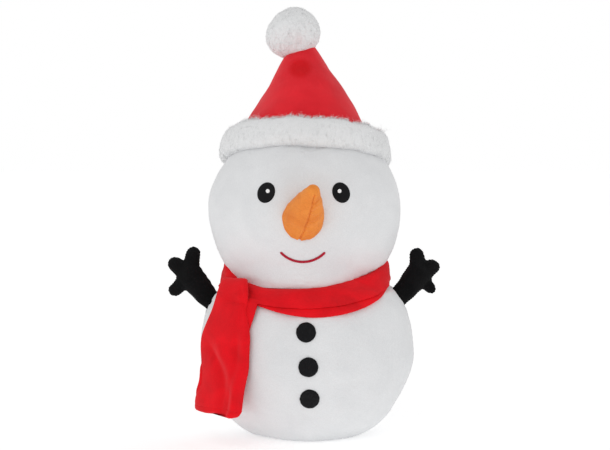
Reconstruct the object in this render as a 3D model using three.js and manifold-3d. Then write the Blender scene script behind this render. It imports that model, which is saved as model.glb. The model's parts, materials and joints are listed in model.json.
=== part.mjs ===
// A stuffed plush snowman: two gored balls joined at a sewn neck, with a stuffed hat,
// a carrot nose, two three-fingered arms and a wrapped scarf.
// Millimetres, +Z up. The face looks along -Y. The origin is the centre of the flat base.

import * as THREE from 'three';
import { mergeVertices } from 'three/addons/utils/BufferGeometryUtils.js';
import Module from 'manifold-3d';

const wasm = await Module();
wasm.setup();

// ---------------------------------------------------------------- driving dimensions

const SKIN = 2;                 // thickness of the plush cloth with its short pile
const GAP = 0.4;                // clearance between pieces that touch
const CUT_DEPTH = 400;          // long enough to pass right through any piece

const BODY_RADIUS = 133;
const BODY_WIDEST_Z = 104;
const BODY_LOWER = { height: 119.5, power: 2 };
const BODY_UPPER = { height: 110, power: 2.6 };
const BODY_DEPTH_RATIO = 0.95;  // front-to-back size over side-to-side size
const BASE_RADIUS = 58;
const BAG_RADIUS = 48;
const BAG_HEIGHT = 30;

const HEAD_CENTRE = new THREE.Vector3(-2, 0, 277);
const HEAD_RADII = new THREE.Vector3(120.5, 116, 112);

const NECK_PIVOT = new THREE.Vector3(0, 0, 190);
const NECK_BALL_RADIUS = 55;
const NECK_GAP_SLOPE = Math.tan(THREE.MathUtils.degToRad(5));
const NECK_CLEARANCE = 2;       // round the ball of stuffing that the head rocks on
const HEAD_SWING = 5;           // degrees, each way, of both the nod and the tilt
const SCARF_CLEARANCE = 3;      // between the resting head and the scarf

const EYE_RADII = { x: 10.1, z: 12.3 };
const EYE_X = 44.5;
const EYES_MIDDLE_X = -3.5;
const EYE_Z = 305;
const EYE_LEAN = THREE.MathUtils.degToRad(26);
const HIGHLIGHT_RADIUS = 2.3;
const HIGHLIGHT_OFFSET = { x: 2.4, z: 1.6 };
const PATCH = 1.4;              // thickness of satin stitching
const MOUTH = { x: -4.6, z: 221.3, radius: 36, halfAngle: THREE.MathUtils.degToRad(50), width: 2.6 };

const NOSE_BASE = { x: -7.7, z: 273 };
const NOSE_TIP = new THREE.Vector3(9.2, -175, 310);
const NOSE_RADIUS = 23.5;
const NOSE_TIP_RADIUS = 7;
const NOSE_SWING = 12;

const BUTTON_RADIUS = 11.8;
const BUTTON_THICKNESS = 3;
const BUTTONS = { button_top: [-0.7, 140], button_middle: [2, 99], button_bottom: [3.6, 60] };

const HAT_TILT_BACK = THREE.MathUtils.degToRad(13);
const HAT_ROLL = THREE.MathUtils.degToRad(2.6);
const HAT_DISTANCE = 76;        // from the head's centre to the middle of the fur trim
const TRIM = { radius: 87, thick: 20, tall: 21, rise: 3 };
const HAT_RIM_RADIUS = 95;
const HAT_HEIGHT = 133;
const HAT_TIP_RADIUS = 16;
const HAT_SHIFT = -3;           // of the trim to one side of the head's centre
const CONE_SHIFT = -4.4;        // of the cone to one side of the trim
const HAT_LEAN = { x: -12, y: -8 };

const POMPOM_CENTRE = new THREE.Vector3(-16.5, 38, 503);
const POMPOM_RADIUS = 34;
const POMPOM_SWING = 15;

const ARM = {
  left: { side: -1, x: 121, z: 169, scale: 1.03 },
  right: { side: 1, x: 116, z: 173, scale: 0.98 },
};
const ARM_RADIUS = 12.5;
const PALM = { x: 24, z: 27, radius: 17 };
const FINGERS = [
  { x: 20.5, z: 53.5, radius: 9.2 },
  { x: 41, z: 41.5, radius: 9.2 },
  { x: 40, z: 10.5, radius: 8.6 },
];
const ARM_FLATNESS = 0.8;
const ARM_SWING = { down: 45, up: 8 };

const BAND = { lowRadius: 121, lowZ: 159, highRadius: 101, highZ: 189, thickness: 10,
  liftLow: 30, liftHigh: 27, narrowing: 0.13 };
const TAIL_AZIMUTH = THREE.MathUtils.degToRad(45.5);
const TAIL_FRONT = { inner: 139.5, thickness: 8, width: 76, top: 187, bottom: 36, shift: 0 };
const TAIL_BACK = { inner: 134.4, thickness: 4, width: 56, top: 167, bottom: 60, shift: 12 };

const COLOURS = {
  white: 0xe9e9ec, red: 0xc8202c, scarf: 0xb8141f, black: 0x17171a, orange: 0xe5863a,
  thread: 0x9c1226, highlight: 0xffffff, fibre: 0xf4f2ec, bag: 0xcfc8b8,
};

// ---------------------------------------------------------------- solids

function solidOf(geometry) {
  const bare = geometry.clone();
  bare.deleteAttribute('normal');
  bare.deleteAttribute('uv');
  const merged = mergeVertices(bare, 1e-4);
  return new wasm.Manifold(new wasm.Mesh({
    numProp: 3,
    vertProperties: new Float32Array(merged.attributes.position.array),
    triVerts: new Uint32Array(merged.index.array),
  }));
}

function geometryOf(solid) {
  const mesh = solid.getMesh();
  const geometry = new THREE.BufferGeometry();
  geometry.setAttribute('position', new THREE.BufferAttribute(mesh.vertProperties, 3));
  geometry.setIndex(new THREE.BufferAttribute(mesh.triVerts, 1));
  geometry.computeVertexNormals();
  return geometry;
}

function ellipsoid(centre, radii, around = 20, up = 12) {
  const geometry = new THREE.SphereGeometry(1, around, up);
  geometry.rotateX(Math.PI / 2);
  geometry.scale(radii.x, radii.y, radii.z);
  geometry.translate(centre.x, centre.y, centre.z);
  return solidOf(geometry);
}

function ball(centre, radius, around = 12, up = 8) {
  return ellipsoid(centre, new THREE.Vector3(radius, radius, radius), around, up);
}

// A profile of [radius, height] pairs, from axis to axis or closed, turned about +Z
function turned(profile, segments = 20) {
  const points = profile.map(([radius, height]) => new THREE.Vector2(radius, height));
  const geometry = new THREE.LatheGeometry(points, segments);
  geometry.rotateX(Math.PI / 2);
  return geometry;
}

function box(low, high) {
  const size = new THREE.Vector3().subVectors(high, low);
  const geometry = new THREE.BoxGeometry(size.x, size.y, size.z);
  geometry.translate((low.x + high.x) / 2, (low.y + high.y) / 2, (low.z + high.z) / 2);
  return solidOf(geometry);
}

// A solid turned about a pivot by a rotation matrix
function turnedAbout(solid, pivot, rotation) {
  const place = new THREE.Matrix4()
    .makeTranslation(pivot.x, pivot.y, pivot.z)
    .multiply(rotation)
    .multiply(new THREE.Matrix4().makeTranslation(-pivot.x, -pivot.y, -pivot.z));
  return solid.transform(place.elements);
}

// Takes from a piece all that the obstacle would meet with the piece turned about a pivot
function clearWhenTurned(piece, obstacle, pivot, axis, turns) {
  let result = piece;
  for (const degrees of turns) {
    const rotation = new THREE.Matrix4().makeRotationAxis(axis, THREE.MathUtils.degToRad(-degrees));
    result = result.subtract(turnedAbout(obstacle, pivot, rotation));
  }
  return largestPart(result);
}

// Everything behind the plane that touches a round body at the pivot
function behindPlane(pivot, normal) {
  const slab = new THREE.BoxGeometry(CUT_DEPTH, CUT_DEPTH, CUT_DEPTH);
  slab.translate(0, 0, GAP * 2 - CUT_DEPTH / 2);
  const up = new THREE.Vector3(0, 0, 1);
  slab.applyQuaternion(new THREE.Quaternion().setFromUnitVectors(up, normal));
  slab.translate(pivot.x, pivot.y, pivot.z);
  return solidOf(slab);
}

function largestPart(solid) {
  const parts = solid.decompose();
  parts.sort((a, b) => b.volume() - a.volume());
  return parts[0];
}

// ---------------------------------------------------------------- shapes of the body and head

// Half of the body's outline from the base's centre to the crown, set in by an amount
function bodyProfile(inset, floor, steps = 7) {
  const radius = BODY_RADIUS - inset;
  const outline = [[0, floor]];
  const low = BODY_LOWER.height - inset;
  const lowest = Math.asin(((BODY_WIDEST_Z - floor) / low) ** (BODY_LOWER.power / 2));
  for (let i = 0; i < steps; i += 1) {
    const angle = lowest * (1 - i / steps);
    const r = radius * Math.cos(angle) ** (2 / BODY_LOWER.power);
    outline.push([r, BODY_WIDEST_Z - low * Math.sin(angle) ** (2 / BODY_LOWER.power)]);
  }
  const high = BODY_UPPER.height - inset;
  for (let i = 0; i < steps; i += 1) {
    const angle = (Math.PI / 2) * (i / steps);
    const r = radius * Math.cos(angle) ** (2 / BODY_UPPER.power);
    outline.push([r, BODY_WIDEST_Z + high * Math.sin(angle) ** (2 / BODY_UPPER.power)]);
  }
  outline.push([0, BODY_WIDEST_Z + high]);
  return outline;
}

function bodySolid(inset, floor = 0) {
  const geometry = turned(bodyProfile(inset, floor));
  geometry.scale(1, BODY_DEPTH_RATIO, 1);
  return solidOf(geometry);
}

function headSolid(inset) {
  const radii = HEAD_RADII.clone().subScalar(inset);
  return ellipsoid(HEAD_CENTRE, radii);
}

// The point of the face at a given place across and up
function facePoint({ x, z }) {
  const across = (x - HEAD_CENTRE.x) / HEAD_RADII.x;
  const up = (z - HEAD_CENTRE.z) / HEAD_RADII.z;
  return new THREE.Vector3(x, -HEAD_RADII.y * Math.sqrt(1 - across ** 2 - up ** 2), z);
}

function faceNormal(point) {
  const offset = point.clone().sub(HEAD_CENTRE);
  return offset.divide(HEAD_RADII).divide(HEAD_RADII).normalize();
}

// The wedge-shaped space at the neck that lets the head rock: above it is head, below it is body
function neckCone(side) {
  const reach = BODY_RADIUS * 1.5;
  const profile = [
    [0, NECK_PIVOT.z],
    [reach, NECK_PIVOT.z + side * reach * NECK_GAP_SLOPE],
    [reach, NECK_PIVOT.z - side * CUT_DEPTH],
    [0, NECK_PIVOT.z - side * CUT_DEPTH],
  ];
  return solidOf(turned(side > 0 ? profile.reverse() : profile));
}

const neckSocket = ball(NECK_PIVOT, NECK_BALL_RADIUS + NECK_CLEARANCE);
const bodyOuter = bodySolid(0);
const headOuter = headSolid(0);

function trimmedAtNeck(solid, side) {
  return solid.subtract(neckCone(side)).subtract(neckSocket);
}

// One quarter of a shell, between the centre seam and the side seam
function quarter(shell, xSide, ySide) {
  const near = GAP / 2;
  const low = new THREE.Vector3(
    xSide > 0 ? near : -CUT_DEPTH, ySide > 0 ? near : -CUT_DEPTH, -CUT_DEPTH);
  const high = new THREE.Vector3(
    xSide > 0 ? CUT_DEPTH : -near, ySide > 0 ? CUT_DEPTH : -near, CUT_DEPTH * 2);
  return largestPart(shell.intersect(box(low, high)));
}

// Takes from a piece all that the head would meet with both the nod and the tilt at an end
function clearOfHead(piece) {
  const swing = THREE.MathUtils.degToRad(HEAD_SWING);
  const head = headSolid(-GAP);
  let result = piece.subtract(headSolid(-SCARF_CLEARANCE));
  for (const nod of [-swing, swing]) {
    for (const tilt of [-swing, swing]) {
      const rotation = new THREE.Matrix4().makeRotationX(nod)
        .multiply(new THREE.Matrix4().makeRotationY(tilt));
      result = result.subtract(turnedAbout(head, NECK_PIVOT, rotation));
    }
  }
  return largestPart(result);
}

function panels(prefix, shell) {
  const result = {};
  for (const [depthName, ySide] of [['front', -1], ['back', 1]]) {
    for (const [sideName, xSide] of [['left', -1], ['right', 1]]) {
      result[`${prefix}_panel_${depthName}_${sideName}`] = quarter(shell, xSide, ySide);
    }
  }
  return result;
}

// ---------------------------------------------------------------- torso

function torsoPieces() {
  const shell = bodyOuter.subtract(bodySolid(SKIN, -1));
  const base = new THREE.CylinderGeometry(BASE_RADIUS, BASE_RADIUS, SKIN, 32);
  base.rotateX(Math.PI / 2);
  base.scale(1, BODY_DEPTH_RATIO, 1);
  base.translate(0, 0, SKIN / 2);
  const floor = SKIN + GAP;
  const stuffing = trimmedAtNeck(bodySolid(SKIN + GAP, floor), -1);
  return {
    ...panels('body', trimmedAtNeck(shell, -1)),
    body_base_panel: solidOf(base),
    body_stuffing: stuffing.subtract(bagSolid(GAP, 0)),
    base_weight_bag: bagSolid(0, floor),
  };
}

// A flat round bag of pellets, resting on the base panel
function bagSolid(grow, floor) {
  const radius = BAG_RADIUS + grow;
  const top = BAG_HEIGHT + grow;
  return solidOf(turned([
    [0, floor], [radius * 0.93, floor], [radius, top * 0.45], [radius * 0.9, top * 0.8],
    [radius * 0.55, top * 0.97], [0, top],
  ], 16));
}

// ---------------------------------------------------------------- stitched patches and buttons

// A flat outline in the XZ plane, laid on the front of a surface between two depths
function patchOn(makeSurface, outline, low, high) {
  const geometry = new THREE.ExtrudeGeometry(outline, { depth: CUT_DEPTH, bevelEnabled: false });
  geometry.rotateX(Math.PI / 2);
  const layer = makeSurface(-high).subtract(makeSurface(-low));
  return largestPart(layer.intersect(solidOf(geometry)));
}

function ellipseOutline(x, z, radiusX, radiusZ, lean) {
  const curve = new THREE.EllipseCurve(x, z, radiusX, radiusZ, 0, Math.PI * 2, false, lean);
  return new THREE.Shape(curve.getPoints(16));
}

function mouthOutline() {
  const centreZ = MOUTH.z + MOUTH.radius;
  const first = -Math.PI / 2 - MOUTH.halfAngle;
  const last = -Math.PI / 2 + MOUTH.halfAngle;
  const shape = new THREE.Shape();
  shape.absarc(MOUTH.x, centreZ, MOUTH.radius, first, last, false);
  shape.absarc(MOUTH.x, centreZ, MOUTH.radius - MOUTH.width, last, first, true);
  return shape;
}

function facePieces() {
  const pieces = { mouth: patchOn(headSolid, mouthOutline(), GAP, PATCH) };
  for (const [name, side] of [['left', -1], ['right', 1]]) {
    const x = EYES_MIDDLE_X + side * EYE_X;
    const eye = ellipseOutline(x, EYE_Z, EYE_RADII.x, EYE_RADII.z, side * EYE_LEAN);
    pieces[`eye_${name}`] = patchOn(headSolid, eye, GAP, PATCH);
    const spot = ellipseOutline(x - side * HIGHLIGHT_OFFSET.x, EYE_Z + HIGHLIGHT_OFFSET.z,
      HIGHLIGHT_RADIUS, HIGHLIGHT_RADIUS, 0);
    pieces[`eye_highlight_${name}`] = patchOn(headSolid, spot, PATCH + GAP, PATCH * 2);
  }
  return pieces;
}

function buttonPieces() {
  const pieces = {};
  for (const [name, [x, z]] of Object.entries(BUTTONS)) {
    const disc = ellipseOutline(x, z, BUTTON_RADIUS, BUTTON_RADIUS, 0);
    pieces[name] = patchOn(bodySolid, disc, GAP, BUTTON_THICKNESS);
  }
  return pieces;
}

// ---------------------------------------------------------------- head

function headPieces() {
  const shell = headOuter.subtract(headSolid(SKIN));
  return {
    ...panels('head', trimmedAtNeck(shell, 1)),
    head_stuffing: trimmedAtNeck(headSolid(SKIN + GAP), 1),
    ...facePieces(),
  };
}

// ---------------------------------------------------------------- nose

const noseRoot = facePoint(NOSE_BASE);

// A carrot from the face to its rounded tip, set in by an amount
function noseSolid(inset) {
  const length = NOSE_TIP.distanceTo(noseRoot);
  const radius = NOSE_RADIUS - inset;
  const tip = NOSE_TIP_RADIUS - inset;
  const back = -NOSE_RADIUS;
  const geometry = turned([
    [0, back], [radius, back], [radius, 0], [radius * 0.97, length * 0.12],
    [radius * 0.72 + tip * 0.1, length * 0.5], [tip * 1.25, length * 0.92],
    [tip, length + tip * 0.3], [tip * 0.7, length + tip * 0.75], [0, length + tip],
  ], 12);
  const direction = NOSE_TIP.clone().sub(noseRoot).normalize();
  const up = new THREE.Vector3(0, 0, 1);
  geometry.applyQuaternion(new THREE.Quaternion().setFromUnitVectors(up, direction));
  geometry.translate(noseRoot.x, noseRoot.y, noseRoot.z);
  return solidOf(geometry);
}

function nosePieces() {
  const across = new THREE.Vector3(1, 0, 0);
  const face = behindPlane(noseRoot, faceNormal(noseRoot));
  const clear = (solid) => clearWhenTurned(
    solid, face, noseRoot, across, [-NOSE_SWING, NOSE_SWING]);
  return {
    nose_cover: clear(noseSolid(0).subtract(noseSolid(SKIN))),
    nose_stuffing: clear(noseSolid(SKIN + GAP)),
  };
}

// ---------------------------------------------------------------- hat

function hatMatrix() {
  const turn = new THREE.Matrix4().makeRotationY(HAT_ROLL)
    .multiply(new THREE.Matrix4().makeRotationX(-HAT_TILT_BACK));
  const axis = new THREE.Vector3(0, 0, 1).applyMatrix4(turn);
  const centre = HEAD_CENTRE.clone().addScaledVector(axis, HAT_DISTANCE);
  centre.x += HAT_SHIFT;
  return new THREE.Matrix4().makeTranslation(centre.x, centre.y, centre.z).multiply(turn);
}

const hatPlace = hatMatrix();

// The cone in the hat's own frame, with its tip leaning to one side
function hatConeSolid(inset) {
  const rim = HAT_RIM_RADIUS - inset;
  const tip = HAT_TIP_RADIUS - inset;
  const top = HAT_HEIGHT - inset;
  const geometry = turned([
    [0, -8], [rim * 0.92, -8], [rim * 0.92, 8], [rim * 0.79, 36], [rim * 0.53, 78], [rim * 0.35, 106],
    [tip * 1.2, top - 12], [tip, top - 5], [tip * 0.6, top], [0, top],
  ]);
  const lean = new THREE.Matrix4().set(
    1, 0, HAT_LEAN.x / HAT_HEIGHT, CONE_SHIFT,
    0, 1, HAT_LEAN.y / HAT_HEIGHT, 0,
    0, 0, 1, 0,
    0, 0, 0, 1);
  geometry.applyMatrix4(lean);
  geometry.applyMatrix4(hatPlace);
  return solidOf(geometry);
}

function trimSolid() {
  const section = [];
  const points = 8;
  for (let i = 0; i <= points; i += 1) {
    const angle = -Math.PI * 2 * (i / points);
    section.push([TRIM.radius + TRIM.thick * Math.cos(angle), TRIM.rise + TRIM.tall * Math.sin(angle)]);
  }
  const geometry = turned(section.reverse());
  geometry.applyMatrix4(hatPlace);
  return solidOf(geometry);
}

function hatPieces() {
  const head = headSolid(-GAP);
  const cone = hatConeSolid(0);
  return {
    hat_cone: largestPart(cone.subtract(hatConeSolid(SKIN)).subtract(head)),
    hat_stuffing: largestPart(hatConeSolid(SKIN + GAP).subtract(head)),
    hat_trim: largestPart(trimSolid().subtract(head).subtract(hatConeSolid(-GAP))),
  };
}

// ---------------------------------------------------------------- pom-pom

const pompomPivot = new THREE.Vector3(
  CONE_SHIFT + HAT_LEAN.x, HAT_LEAN.y, HAT_HEIGHT + GAP).applyMatrix4(hatPlace);

function pompomPieces() {
  const forward = new THREE.Vector3(0, 1, 0);
  const hat = hatConeSolid(-GAP * 2);
  const clear = (solid) => clearWhenTurned(
    solid, hat, pompomPivot, forward, [-POMPOM_SWING, -POMPOM_SWING / 2, 0, POMPOM_SWING / 2, POMPOM_SWING]);
  const hollow = ball(POMPOM_CENTRE, POMPOM_RADIUS - SKIN);
  const towardsHat = POMPOM_CENTRE.clone().sub(pompomPivot).normalize();
  const mouthCentre = POMPOM_CENTRE.clone().addScaledVector(towardsHat, -POMPOM_RADIUS);
  const tieHole = ball(mouthCentre, POMPOM_RADIUS * 0.3);
  return {
    pompom_cover: clear(ball(POMPOM_CENTRE, POMPOM_RADIUS).subtract(hollow).subtract(tieHole)),
    pompom_stuffing: clear(ball(POMPOM_CENTRE, POMPOM_RADIUS - SKIN - GAP)),
  };
}

// ---------------------------------------------------------------- arms

// A tapering rod with a round far end
function rod(start, end, startRadius, endRadius) {
  const length = start.distanceTo(end);
  const geometry = new THREE.CylinderGeometry(endRadius, startRadius, length, 8);
  geometry.translate(0, length / 2, 0);
  const direction = end.clone().sub(start).normalize();
  const up = new THREE.Vector3(0, 1, 0);
  geometry.applyQuaternion(new THREE.Quaternion().setFromUnitVectors(up, direction));
  geometry.translate(start.x, start.y, start.z);
  return solidOf(geometry).add(ball(end, endRadius, 8, 5));
}

// A stuffed arm with three fingers, flattened front to back, set in by an amount
function armSolid(arm, inset) {
  const place = (point) => new THREE.Vector3(
    arm.side * (arm.x + point.x * arm.scale), 0, arm.z + point.z * arm.scale);
  const root = place({ x: -6, z: -4 });
  const palm = place(PALM);
  let solid = rod(root, palm, ARM_RADIUS - inset, PALM.radius - inset);
  for (const finger of FINGERS) {
    const tip = place(finger);
    solid = solid.add(rod(palm, tip, finger.radius + 2 - inset, finger.radius - inset));
  }
  const flat = new THREE.Matrix4().makeScale(1, ARM_FLATNESS, 1);
  return solid.transform(flat.elements);
}

// The point of the side seam that the arm bends about
function armPivot(arm) {
  const rise = ((arm.z - BODY_WIDEST_Z) / BODY_UPPER.height) ** BODY_UPPER.power;
  return new THREE.Vector3(arm.side * BODY_RADIUS * (1 - rise) ** (1 / BODY_UPPER.power), 0, arm.z);
}

function shoulderNormal(arm) {
  const power = BODY_UPPER.power - 1;
  const pivot = armPivot(arm);
  return new THREE.Vector3(
    arm.side * (Math.abs(pivot.x) / BODY_RADIUS) ** power / BODY_RADIUS, 0,
    ((arm.z - BODY_WIDEST_Z) / BODY_UPPER.height) ** power / BODY_UPPER.height).normalize();
}

function armPieces(name, arm) {
  const hingeAxis = new THREE.Vector3(0, -arm.side, 0);
  const shoulder = behindPlane(armPivot(arm), shoulderNormal(arm));
  const clear = (solid) => clearWhenTurned(
    solid, shoulder, armPivot(arm), hingeAxis, [-ARM_SWING.down, ARM_SWING.up]);
  const cover = armSolid(arm, 0).subtract(armSolid(arm, SKIN));
  return {
    [`arm_cover_${name}`]: clear(cover),
    [`arm_stuffing_${name}`]: clear(armSolid(arm, SKIN + GAP)),
  };
}

// ---------------------------------------------------------------- scarf

// Takes from a piece all that the arms would meet as they are raised
function clearOfArms(piece) {
  let result = piece;
  for (const arm of Object.values(ARM)) {
    for (const degrees of [0, ARM_SWING.up / 2, ARM_SWING.up]) {
      const turn = THREE.MathUtils.degToRad(-arm.side * degrees);
      const rotation = new THREE.Matrix4().makeRotationY(turn);
      result = result.subtract(turnedAbout(armSolid(arm, -GAP), armPivot(arm), rotation));
    }
  }
  return largestPart(result);
}

// The strip round the neck lies low on the chest and rises to the sides and back
function scarfBand() {
  const slope = new THREE.Vector2(BAND.highRadius - BAND.lowRadius, BAND.highZ - BAND.lowZ);
  const out = new THREE.Vector2(slope.y, -slope.x).normalize().multiplyScalar(BAND.thickness);
  const inner = -BAND.thickness;
  const geometry = turned([
    [BAND.lowRadius + inner, BAND.lowZ + 8], [BAND.lowRadius, BAND.lowZ],
    [BAND.lowRadius + out.x, BAND.lowZ + out.y],
    [BAND.lowRadius + out.x + slope.x / 2, BAND.lowZ + out.y + slope.y / 2],
    [BAND.highRadius + out.x, BAND.highZ + out.y], [BAND.highRadius, BAND.highZ],
    [BAND.lowRadius + inner, BAND.lowZ + 8],
  ], 28);
  const position = geometry.attributes.position;
  for (let i = 0; i < position.count; i += 1) {
    const [x, y, z] = [position.getX(i), position.getY(i), position.getZ(i)];
    const sideness = 1 - Math.max(0, -y / Math.hypot(x, y)) ** 1.5;
    const height = (z - BAND.lowZ) / (BAND.highZ - BAND.lowZ);
    const lift = THREE.MathUtils.lerp(BAND.liftLow, BAND.liftHigh, height);
    const narrow = 1 - BAND.narrowing * sideness;
    position.setXYZ(i, x * narrow, y * narrow, z + lift * sideness);
  }
  geometry.scale(1, BODY_DEPTH_RATIO, 1);
  return clearOfArms(clearOfHead(solidOf(geometry).subtract(bodySolid(-GAP))));
}

// A hanging end of the scarf: a flat strip with softly rounded lower corners
function scarfTail(tail) {
  const half = tail.width / 2;
  const round = tail.width / 8;
  const shape = new THREE.Shape();
  shape.moveTo(-half, tail.top);
  shape.lineTo(-half, tail.bottom + round);
  shape.quadraticCurveTo(-half, tail.bottom, -half + round, tail.bottom);
  shape.lineTo(half - round, tail.bottom);
  shape.quadraticCurveTo(half, tail.bottom, half, tail.bottom + round);
  shape.lineTo(half, tail.top);
  shape.closePath();
  const geometry = new THREE.ExtrudeGeometry(
    shape, { depth: tail.thickness, bevelEnabled: false, curveSegments: 4 });
  geometry.rotateX(Math.PI / 2);
  geometry.translate(tail.shift, -tail.inner, 0);
  geometry.rotateZ(-TAIL_AZIMUTH);
  geometry.scale(1, BODY_DEPTH_RATIO, 1);
  return solidOf(geometry);
}

// ---------------------------------------------------------------- the assembly

const snowman = new THREE.Group();

function bodyGroup(parent, pivot) {
  const group = new THREE.Group();
  parent.add(group);
  parent.updateWorldMatrix(true, true);
  group.position.copy(parent.worldToLocal(pivot.clone()));
  group.updateWorldMatrix(true, true);
  return group;
}

function addNode(group, name, solid, colour, roughness = 0.95) {
  const geometry = geometryOf(solid);
  geometry.applyMatrix4(group.matrixWorld.clone().invert());
  const material = new THREE.MeshStandardMaterial({ color: COLOURS[colour], roughness, metalness: 0 });
  const mesh = new THREE.Mesh(geometry, material);
  mesh.name = name;
  group.add(mesh);
}

function colourOf(name) {
  const rules = [
    [/highlight/, 'highlight'], [/weight_bag/, 'bag'], [/stuffing/, 'fibre'], [/button|eye|arm_cover/, 'black'],
    [/mouth/, 'thread'], [/nose/, 'orange'], [/hat_cone/, 'red'], [/scarf/, 'scarf'],
  ];
  const rule = rules.find(([pattern]) => pattern.test(name));
  return rule ? rule[1] : 'white';
}

function addNodes(group, pieces) {
  for (const [name, solid] of Object.entries(pieces)) {
    addNode(group, name, solid, colourOf(name));
  }
}

const origin = new THREE.Vector3(0, 0, 0);
const torso = bodyGroup(snowman, origin);
addNodes(torso, { ...torsoPieces(), ...buttonPieces(), scarf_neck_band: scarfBand() });

const neck = bodyGroup(torso, NECK_PIVOT);
addNodes(neck, { neck_stuffing: ball(NECK_PIVOT, NECK_BALL_RADIUS) });

const head = bodyGroup(neck, NECK_PIVOT);
addNodes(head, { ...headPieces(), ...hatPieces() });
addNodes(bodyGroup(head, noseRoot), nosePieces());
addNodes(bodyGroup(head, pompomPivot), pompomPieces());

for (const [name, arm] of Object.entries(ARM)) {
  addNodes(bodyGroup(torso, armPivot(arm)), armPieces(name, arm));
}

addNodes(bodyGroup(torso, origin), { scarf_tail_front: scarfTail(TAIL_FRONT) });
addNodes(bodyGroup(torso, origin), { scarf_tail_back: scarfTail(TAIL_BACK) });

export default snowman;
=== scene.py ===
"""The looks of a stuffed plush snowman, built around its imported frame. Metres, +Z up, face to -Y."""

import json
import math

import bpy
import numpy as np
from mathutils import Matrix, Vector
from mathutils.bvhtree import BVHTree


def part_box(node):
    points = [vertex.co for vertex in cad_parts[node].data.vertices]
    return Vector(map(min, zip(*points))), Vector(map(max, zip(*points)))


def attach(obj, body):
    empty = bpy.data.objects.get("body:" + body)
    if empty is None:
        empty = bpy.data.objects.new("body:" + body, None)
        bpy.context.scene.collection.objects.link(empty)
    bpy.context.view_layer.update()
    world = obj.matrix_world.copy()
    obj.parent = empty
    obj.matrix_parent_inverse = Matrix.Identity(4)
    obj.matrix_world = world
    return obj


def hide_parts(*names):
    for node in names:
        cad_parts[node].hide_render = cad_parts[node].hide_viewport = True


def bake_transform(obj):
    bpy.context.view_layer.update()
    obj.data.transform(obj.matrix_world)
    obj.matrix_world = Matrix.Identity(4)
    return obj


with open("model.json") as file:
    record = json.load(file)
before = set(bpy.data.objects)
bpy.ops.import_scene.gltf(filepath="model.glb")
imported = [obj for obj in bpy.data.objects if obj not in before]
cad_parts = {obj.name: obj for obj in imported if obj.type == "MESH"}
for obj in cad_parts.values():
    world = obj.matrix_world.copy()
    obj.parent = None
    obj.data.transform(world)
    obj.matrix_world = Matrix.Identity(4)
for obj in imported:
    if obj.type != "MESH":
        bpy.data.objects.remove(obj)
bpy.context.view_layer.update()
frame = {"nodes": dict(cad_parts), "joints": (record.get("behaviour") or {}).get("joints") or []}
SCENE = bpy.context.scene

MM = 0.001
TURN = 2 * math.pi
QUARTER = math.pi / 2
SEED = 7
AHEAD = Vector((0, -1, 0))  # the way the face looks

# ---- sizes and places


def nodes_like(prefix):
    return [node for node in frame["nodes"] if node.startswith(prefix)]


def union_box(prefix):
    """The lowest and highest corners of all the nodes whose names start alike."""
    boxes = np.array([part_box(node) for node in nodes_like(prefix)])
    return Vector(boxes[:, 0].min(axis=0)), Vector(boxes[:, 1].max(axis=0))


def joint_pivot(name):
    return Vector(next(joint["pos_m"] for joint in frame["joints"] if joint["name"] == name))


BODY_HIGH = union_box("body_panel")[1]
BODY_RADIUS = BODY_HIGH.x
BODY_DEPTH_RATIO = BODY_HIGH.y / BODY_RADIUS
BODY_WIDEST_Z = 104 * MM
BODY_LOWER_HEIGHT, BODY_LOWER_POWER = 119.5 * MM, 2.0
BODY_UPPER_HEIGHT, BODY_UPPER_POWER = 110 * MM, 2.6
BASE_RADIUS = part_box("body_base_panel")[1].x

HEAD_LOW, HEAD_HIGH = union_box("head_panel")
HEAD_RADIUS = (HEAD_HIGH.x - HEAD_LOW.x) / 2
HEAD_DEPTH = HEAD_HIGH.y
HEAD_HEIGHT = HEAD_RADIUS * 0.93
HEAD_CENTRE = Vector(((HEAD_HIGH.x + HEAD_LOW.x) / 2, 0, HEAD_HIGH.z - HEAD_HEIGHT))

NECK_PIVOT = joint_pivot("head_nod")

EYE_RADII = (10.2 * MM, 12.5 * MM)
EYE_LEAN = math.radians(26)
HIGHLIGHT_RADIUS = 2.3 * MM
MOUTH_HALF_WIDTH, MOUTH_HALF_DEPTH = 1.6 * MM, 0.9 * MM

HAT_TILT_BACK = math.radians(13)
HAT_ROLL = math.radians(2.6)
HAT_DISTANCE = 76 * MM
HAT_HEIGHT = 133 * MM
HAT_TOP = HAT_HEIGHT + 8 * MM
HAT_RIM_RADIUS = 95 * MM
HAT_TIP_RADIUS = 16 * MM
HAT_SHIFT = -3 * MM
TRIM_RADIUS = 88 * MM
TRIM_HALF_WIDTH, TRIM_HALF_HEIGHT = 20 * MM, 18.5 * MM

CAMERA_DISTANCE = 2.2
CAMERA_ELEVATION = math.radians(3)
FRAME_WIDTH = 762.5 * MM  # the width of the view where the object stands
SENSOR_WIDTH = 36.0  # in mm, as the camera's lens is
FLOOR_SIZE = 30
FLOOR_GLOW = 0.31  # keeps the floor as pale as the backdrop
WORLD_LIGHT = 0.74
KEY_LIGHT = 4.0  # in watts
KEY_SIZE = 1.2
KEY_PLACE, KEY_AIM = Vector((-0.6, -1.8, 1.6)), Vector((0, 0, 0.27))
AIM = Vector((-1.9 * MM, 0, 261 * MM))

# ---- numbers and noise


def unit(vectors):
    """The vectors, each with a length of one."""
    length = np.linalg.norm(vectors, axis=-1, keepdims=True)
    return vectors / np.maximum(length, 1e-12)


def circle(count, start=0):
    """Angles evenly round a circle."""
    return start + np.linspace(0, TURN, count, endpoint=False)


def turn_from(place, azimuth):
    """The signed angle from a place to an azimuth, the shorter way round."""
    return np.angle(np.exp(1j * (azimuth - place)))


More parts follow.
